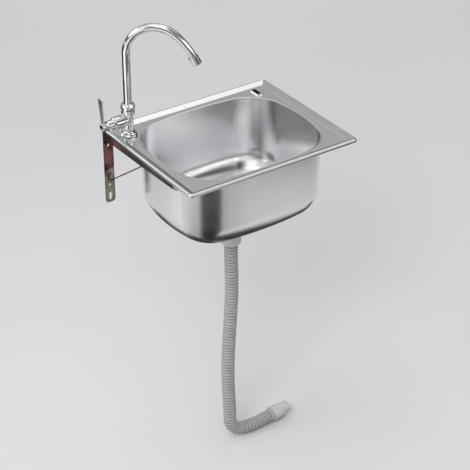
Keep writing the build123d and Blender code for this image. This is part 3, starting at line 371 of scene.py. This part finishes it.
def brushed_steel():
    made, tree, shader = material("brushed_steel")
    grain = noise(tree, surface_point(tree, BRUSH_STRETCH), scale=40.0, detail=6.0, roughness=0.6)
    cloud = noise(tree, surface_point(tree), scale=9.0, detail=3.0)
    feed(tree, shader.inputs["Base Color"], mottled(tree, grain, STEEL_DARK, STEEL_LIGHT))
    feed(tree, shader.inputs["Roughness"], spread(tree, cloud, 0.2, 0.25))
    shader.inputs["Metallic"].default_value = 1.0
    bump(tree, grain, shader, strength=0.04, distance=0.0004)
    return made


def smeared_chrome(name, scale, dark, light, rough_low, rough_high):
    # Bare chrome whose gloss and tone are uneven together
    made, tree, shader = material(name)
    smear = noise(tree, surface_point(tree), scale, detail=5.0)
    feed(tree, shader.inputs["Base Color"], mottled(tree, smear, dark, light))
    feed(tree, shader.inputs["Roughness"], spread(tree, smear, rough_low, rough_high))
    shader.inputs["Metallic"].default_value = 1.0
    return made


def plain(name, dark, light, rough_low, rough_high, grain_scale, depth, metallic):
    # A finish with mottled colour, uneven gloss and a fine surface
    made, tree, shader = material(name)
    point = surface_point(tree)
    mottle = noise(tree, point, grain_scale / GRAIN_PER_MOTTLE)
    grain = noise(tree, point, grain_scale, detail=5.0)
    feed(tree, shader.inputs["Base Color"], mottled(tree, mottle, dark, light))
    feed(tree, shader.inputs["Roughness"], spread(tree, grain, rough_low, rough_high))
    shader.inputs["Metallic"].default_value = metallic
    bump(tree, grain, shader, GRAIN_STRENGTH, depth)
    return made


def hose_plastic():
    # Grey plastic with painted shade down in the grooves between the ribs
    made = plain("hose_plastic", HOSE_DARK, HOSE_LIGHT, 0.3, 0.42, 500, 0.00004, 0.0)
    tree = made.node_tree
    shade = tree.nodes["Principled BSDF"].inputs["Base Color"]
    crest = node(tree, "ShaderNodeAttribute", attribute_name="crest")
    # Painted shade: darker towards the ribs' root
    groove_shade = ramp(tree, crest.outputs["Fac"], [(0.1, grey(0.5)), (0.85, grey(1.0))])
    feed(tree, shade, mixed(tree, shade.links[0].from_socket, groove_shade, blend="MULTIPLY"))
    return made


# Zinc plating of the brackets, with painted shadow, shade and highlights in its colours

OLIVE = (0.3, 0.31, 0.2)
PALE_OLIVE = (0.42, 0.43, 0.3)
PALE_PINK = (0.66, 0.5, 0.47)
DARK_RED = (0.12, 0.035, 0.035)
ROSE = (0.38, 0.17, 0.175)
DARK_BROWN = (0.045, 0.03, 0.02)
BROWN = (0.13, 0.095, 0.06)
GOLD = (0.62, 0.47, 0.2, 1.0)

# Tints from a piece's low end to its high end, by share of its length; a few stops are painted shadow and
# highlights, the rest the plating's own colours
# The dark brown top, from 0.85, is painted shadow under the sink's rim
LEG_TINTS_AND_RIM_SHADOW = [
    (0.0, OLIVE), (0.12, PALE_OLIVE), (0.3, OLIVE), (0.37, PALE_PINK), (0.43, PALE_PINK), (0.46, DARK_RED),
    (0.53, ROSE), (0.7, ROSE), (0.78, DARK_RED), (0.85, DARK_BROWN), (1.0, DARK_BROWN),
]
# The pale pink front tip, up to 0.05, is a painted highlight
ARM_TINTS_AND_TIP_HIGHLIGHT = [
    (0.0, PALE_PINK), (0.05, PALE_PINK), (0.07, DARK_BROWN), (0.35, BROWN), (0.5, DARK_BROWN),
    (0.7, BROWN), (0.82, ROSE), (0.9, DARK_RED), (1.0, DARK_BROWN),
]
# The pale olive end at the arm, at 0, is a painted highlight
BRACE_TINTS_AND_END_HIGHLIGHT = [
    (0.0, PALE_OLIVE), (0.06, DARK_BROWN), (0.5, BROWN), (0.6, DARK_BROWN), (0.95, DARK_BROWN),
    (0.98, PALE_PINK),
]
# Painted shade across a leg, from its inner edge, at 0, to its outer one: darker along both edges
LEG_EDGE_SHADE = [(0.0, grey(0.45)), (0.28, grey(1.0)), (0.9, grey(1.0)), (1.0, grey(0.6))]

# Past a piece's end, so that it has no specks
NO_SPECKS = 2.0
# Piece: axis that its tints run along, tints with their painted shadow and highlights, how far they drift,
# share of its length where gold specks begin
BRACKET_TINTS_AND_PAINTED_LIGHT = {
    "leg": ("Z", LEG_TINTS_AND_RIM_SHADOW, 0.05, 0.74),
    "arm": ("Y", ARM_TINTS_AND_TIP_HIGHLIGHT, 0.015, NO_SPECKS),
    "brace": ("Y", BRACE_TINTS_AND_END_HIGHLIGHT, 0.004, NO_SPECKS),
}
# How far past the specks' beginning they are all there, and how far before it they are all gone
SPECKS_FULL = 0.06
SPECKS_NONE = 0.02


def plated(name, axis, low, high, tints, drift, specks_from, edges):
    # Zinc plating that runs through tints, painted shadow and highlights from low to high along an axis;
    # edges are a leg's inner and outer X, for the painted shade along its edges
    made, tree, shader = material(name)
    point = surface_point(tree)
    split = node(tree, "ShaderNodeSeparateXYZ")
    feed(tree, split.inputs["Vector"], point)
    share = spread(tree, split.outputs[axis], 0, 1, low, high)
    moved = spread(tree, noise(tree, point, scale=70), -drift, drift)
    tint = ramp(tree, maths(tree, "ADD", share, moved), tints)
    mottle = mottled(tree, noise(tree, point, scale=160), grey(0.7), grey(1.0))
    tint = mixed(tree, tint, mottle, blend="MULTIPLY")
    if edges:
        # Painted shade along both edges of a leg
        across = spread(tree, maths(tree, "ABSOLUTE", split.outputs["X"]), 0, 1, *edges)
        tint = mixed(tree, tint, ramp(tree, across, LEG_EDGE_SHADE), blend="MULTIPLY")
    speck = fade(tree, noise(tree, point, scale=330, detail=2.0), full=0.62, none=0.56)
    speck_area = fade(tree, share, full=specks_from + SPECKS_FULL, none=specks_from - SPECKS_NONE)
    tint = mixed(tree, tint, GOLD, product(tree, speck, speck_area))
    feed(tree, shader.inputs["Base Color"], tint)
    grain = noise(tree, point, scale=300, detail=5.0)
    feed(tree, shader.inputs["Roughness"], spread(tree, grain, 0.25, 0.42))
    shader.inputs["Metallic"].default_value = 0.9
    bump(tree, grain, shader, GRAIN_STRENGTH, distance=0.00003)
    return made


def bracket_finishes():
    # Finish of each bracket piece by its node name
    made = {}
    for side in ("left", "right"):
        for part, (axis, tints, drift, specks_from) in BRACKET_TINTS_AND_PAINTED_LIGHT.items():
            name = side + "_" + part
            low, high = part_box(name)
            run = "XYZ".index(axis)
            edges = sorted((abs(low[0]), abs(high[0]))) if part == "leg" else None
            made[name] = plated(name + "_zinc", axis, low[run], high[run], tints, drift, specks_from, edges)
    return made


def finish_nodes(hose):
    # A node takes its own finish, or that of its material slot
    slot_finishes = {slot: plain(slot, *row) for slot, row in PLAIN_FINISHES.items()}
    slot_finishes["steel"] = brushed_steel()
    slot_finishes["chrome"] = smeared_chrome("chrome", 30.0, CHROME_DARK, CHROME_LIGHT, 0.03, 0.07)
    slot_finishes["hose"] = hose_plastic()
    node_finishes = bracket_finishes()
    node_finishes["lever_handle"] = smeared_chrome("satin_chrome", 60.0, grey(0.76), grey(0.85), 0.24, 0.32)
    slots = {row["node"]: row["material_slot"] for row in frame["record"]["subparts"]}
    for name, made in frame["nodes"].items():
        finish = node_finishes.get(name) or slot_finishes[slots[name]]
        if not made.data.materials:
            made.data.materials.append(finish)
        for holder in made.material_slots:
            holder.material = finish
    hose.data.materials.append(slot_finishes["hose"])


# Studio. Shiny pieces mirror the sky and the cards on the floor, which give them the photograph's bands.

FLOOR_Z = -0.7755
FLOOR_HALF = 14.0
BACKDROP = 0.6
SKY_TINT = (0.98, 0.99, 1.0, 1)
SKY_LEAST = 0.04
SKY_SOFT = 4.0
CARD_STEPS = 24
CARD_HOLE = 0.005
UNSEEN_BY = ("camera", "diffuse", "shadow", "transmission", "volume_scatter")

# Sine of the elevation and brightness
SKY_LEVELS = [(-1.0, 0.5), (-0.05, 0.1), (0.2, 0.12), (0.42, 0.36), (0.54, 0.52), (0.8, 0.8), (1.0, 0.95)]
# Azimuth (0 to the right, 90 to the wall), half width, lowest and highest elevation, brightness added
SKY_WINDOWS = [
    (172, 22, 6, 26, 3.0),
    (178, 18, 26, 48, 0.15),
    (174, 26, 60, 84, 1.2),
    (128, 18, 10, 32, 1.2),
    (110, 18, 20, 36, 0.5),
    (-56, 36, 14, 31, 1.2),
    (-78, 32, 35, 62, -0.8),
    (-42, 40, 60, 74, -0.5),
    (30, 22, 52, 74, 0.7),
    (8, 28, 14, 38, -0.5),
    (-124, 30, 30, 75, 0.6),
    (98, 12, 38, 56, -0.35),
]

MIDDLE = (0.0, -0.19)
CORNER = (-0.19, -0.19)
TAP = (-0.185, -0.052)
# Name, centre, azimuths (degrees), distances from the centre (metres), brightness, height above the floor,
# and how far the sides (degrees) and the ends (metres) fade. No two cards share a height, because sheets
# at one height spoil each other.
MIRROR_CARDS = [
    ("dark_strip", CORNER, (-148, -88), (0.2, 1.6), 0.02, 0.012, 8, 0.1),
    ("strip_wing_left", CORNER, (-190, -120), (0.2, 1.5), 0.42, 0.011, 30, 0.1),
    ("strip_wing_right", CORNER, (-110, -63), (0.9, 1.55), 0.48, 0.010, 8, 0.06),
    ("dark_below", MIDDLE, (-180, 180), (-1.0, 0.55), 0.04, 0.009, 1, 0.22),
    ("dark_under", MIDDLE, (-10, 120), (0.2, 0.95), 0.04, 0.008, 10, 0.1),
    ("dark_left", TAP, (80, 164), (1.47, 6.0), 0.03, 0.007, 4, 0.06),
    ("dark_right", TAP, (-62, 40), (1.85, 6.0), 0.03, 0.006, 4, 0.15),
    ("grey_front", TAP, (-142, -58), (1.8, 4.0), 0.18, 0.005, 4, 0.1),
    ("bright_left", TAP, (170, 220), (1.47, 3.0), 1.3, 0.004, 4, 0.06),
    ("dark_back", TAP, (34, 86), (1.4, 6.0), 0.03, 0.003, 4, 0.06),
    ("bright_back", TAP, (46, 78), (3.0, 4.2), 1.3, 0.013, 4, 0.06),
    ("bright_wall", CORNER, (133, 151), (1.0, 1.4), 0.92, 0.014, 6, 0.06),
]

KEY_PLACE = Vector((-2.2, -2.0, 2.2))
KEY_AIM = Vector((0.0, -0.2, -0.3))
KEY_SIDE = 1.4
KEY_POWER = 55


def make_floor():
    half = FLOOR_HALF
    verts = [(-half, -half, FLOOR_Z), (half, -half, FLOOR_Z), (half, half, FLOOR_Z), (-half, half, FLOOR_Z)]
    floor = make_object("floor", verts, [(0, 1, 2, 3)])
    made, tree, shader = material("pale_floor")
    cloud = noise(tree, surface_point(tree), scale=1.2, detail=2.0)
    feed(tree, shader.inputs["Base Color"], mottled(tree, cloud, grey(0.7), grey(0.72)))
    shader.inputs["Roughness"].default_value = 0.9
    floor.data.materials.append(made)


def turn_away(tree, direction, azimuth):
    # Angle from above between a direction and an azimuth given in degrees
    turned = node(tree, "ShaderNodeVectorRotate", rotation_type="Z_AXIS")
    feed(tree, turned.inputs["Vector"], direction)
    turned.inputs["Angle"].default_value = -math.radians(azimuth)
    split = node(tree, "ShaderNodeSeparateXYZ")
    feed(tree, split.inputs["Vector"], turned.outputs["Vector"])
    return maths(tree, "ABSOLUTE", maths(tree, "ARCTAN2", split.outputs["Y"], split.outputs["X"]))


def up_to(tree, value, high, soft):
    # 1 up to high, with a soft edge
    return fade(tree, value, full=high - soft, none=high + soft)


def between(tree, value, low, high, soft):
    # 1 from low to high, with soft edges
    return product(tree, fade(tree, value, full=low + soft, none=low - soft), up_to(tree, value, high, soft))


def sky_window(tree, direction, height, azimuth, half, low, high, amount):
    # Brightness of a light or dark window of the sky, angles in degrees
    soft = math.radians(SKY_SOFT)
    sides = up_to(tree, turn_away(tree, direction, azimuth), math.radians(half), soft)
    rows = between(tree, height, math.radians(low), math.radians(high), soft)
    return product(tree, sides, rows, amount)


def make_world():
    world = bpy.data.worlds.new("studio")
    bpy.context.scene.world = world
    world.use_nodes = True
    tree = world.node_tree
    direction = node(tree, "ShaderNodeTexCoord").outputs["Generated"]
    split = node(tree, "ShaderNodeSeparateXYZ")
    feed(tree, split.inputs["Vector"], direction)
    sine = split.outputs["Z"]
    peak = max(level for _, level in SKY_LEVELS)
    stops = [((place + 1) / 2, grey(level / peak)) for place, level in SKY_LEVELS]
    value = product(tree, ramp(tree, spread(tree, sine, 0, 1, -1, 1), stops), peak)
    height = maths(tree, "ARCSINE", sine)
    for window in SKY_WINDOWS:
        value = maths(tree, "ADD", value, sky_window(tree, direction, height, *window))
    value = maths(tree, "MAXIMUM", value, SKY_LEAST)
    # Past the floor's edge the camera sees the floor's own tone
    seen = node(tree, "ShaderNodeLightPath").outputs["Is Camera Ray"]
    value = product(tree, value, maths(tree, "SUBTRACT", 1.0, seen))
    value = maths(tree, "ADD", value, product(tree, seen, BACKDROP))
    background = tree.nodes["Background"]
    feed(tree, background.inputs["Strength"], value)
    background.inputs["Color"].default_value = SKY_TINT


def ring_sector(name, centre, azimuths, distances, height):
    # Flat sector of a ring, azimuths in degrees
    x, y = centre
    first, last = azimuths
    near, far = distances
    verts = []
    faces = []
    for step in range(CARD_STEPS + 1):
        turn = math.radians(first + (last - first) * step / CARD_STEPS)
        for run in (max(near, CARD_HOLE), far):
            verts.append((x + run * math.cos(turn), y + run * math.sin(turn), height))
        if step:
            end = len(verts)
            faces.append((end - 4, end - 3, end - 1, end - 2))
    return make_object(name, verts, faces)


def card_finish(name, middle, azimuths, distances, brightness, soft_turn, soft_run):
    # Even light that fades to nothing at the sector's edges
    first, last = azimuths
    made, tree, _ = material(name)
    offset = node(tree, "ShaderNodeVectorMath", operation="SUBTRACT")
    feed(tree, offset.inputs[0], node(tree, "ShaderNodeTexCoord").outputs["Object"])
    offset.inputs[1].default_value = middle
    offset = offset.outputs["Vector"]
    run = node(tree, "ShaderNodeVectorMath", operation="LENGTH")
    feed(tree, run.inputs[0], offset)
    turn = turn_away(tree, offset, (first + last) / 2)
    sides = up_to(tree, turn, math.radians((last - first) / 2), math.radians(soft_turn))
    ends = between(tree, run.outputs["Value"], *distances, soft_run)
    light = node(tree, "ShaderNodeEmission")
    light.inputs["Strength"].default_value = brightness
    mix = node(tree, "ShaderNodeMixShader")
    feed(tree, mix.inputs[0], product(tree, sides, ends))
    feed(tree, mix.inputs[1], node(tree, "ShaderNodeBsdfTransparent").outputs["BSDF"])
    feed(tree, mix.inputs[2], light.outputs["Emission"])
    feed(tree, tree.nodes["Material Output"].inputs["Surface"], mix.outputs["Shader"])
    return made


def mirror_card(name, centre, azimuths, distances, brightness, lift, soft_turn, soft_run):
    # A sector of a ring just above the floor that only shiny surfaces see
    first, last = azimuths
    near, far = distances
    height = FLOOR_Z + lift
    sides = (first - soft_turn, last + soft_turn)
    ends = (near - soft_run, far + soft_run)
    card = ring_sector(name, centre, sides, ends, height)
    middle = (*centre, height)
    finish = card_finish(name, middle, azimuths, distances, brightness, soft_turn, soft_run)
    card.data.materials.append(finish)
    for ray in UNSEEN_BY:
        setattr(card, "visible_" + ray, False)


def make_key_light():
    data = bpy.data.lights.new("key", "AREA")
    data.shape = "SQUARE"
    data.size = KEY_SIDE
    data.energy = KEY_POWER
    light = bpy.data.objects.new("key", data)
    bpy.context.scene.collection.objects.link(light)
    light.location = KEY_PLACE
    aim(light, KEY_AIM - KEY_PLACE)
    light.visible_glossy = False
    light.visible_camera = False


make_camera()
finish_nodes(make_hose())
make_floor()
make_world()
for card in MIRROR_CARDS:
    mirror_card(*card)
make_key_light()
bpy.context.scene.view_settings.view_transform = "Standard"
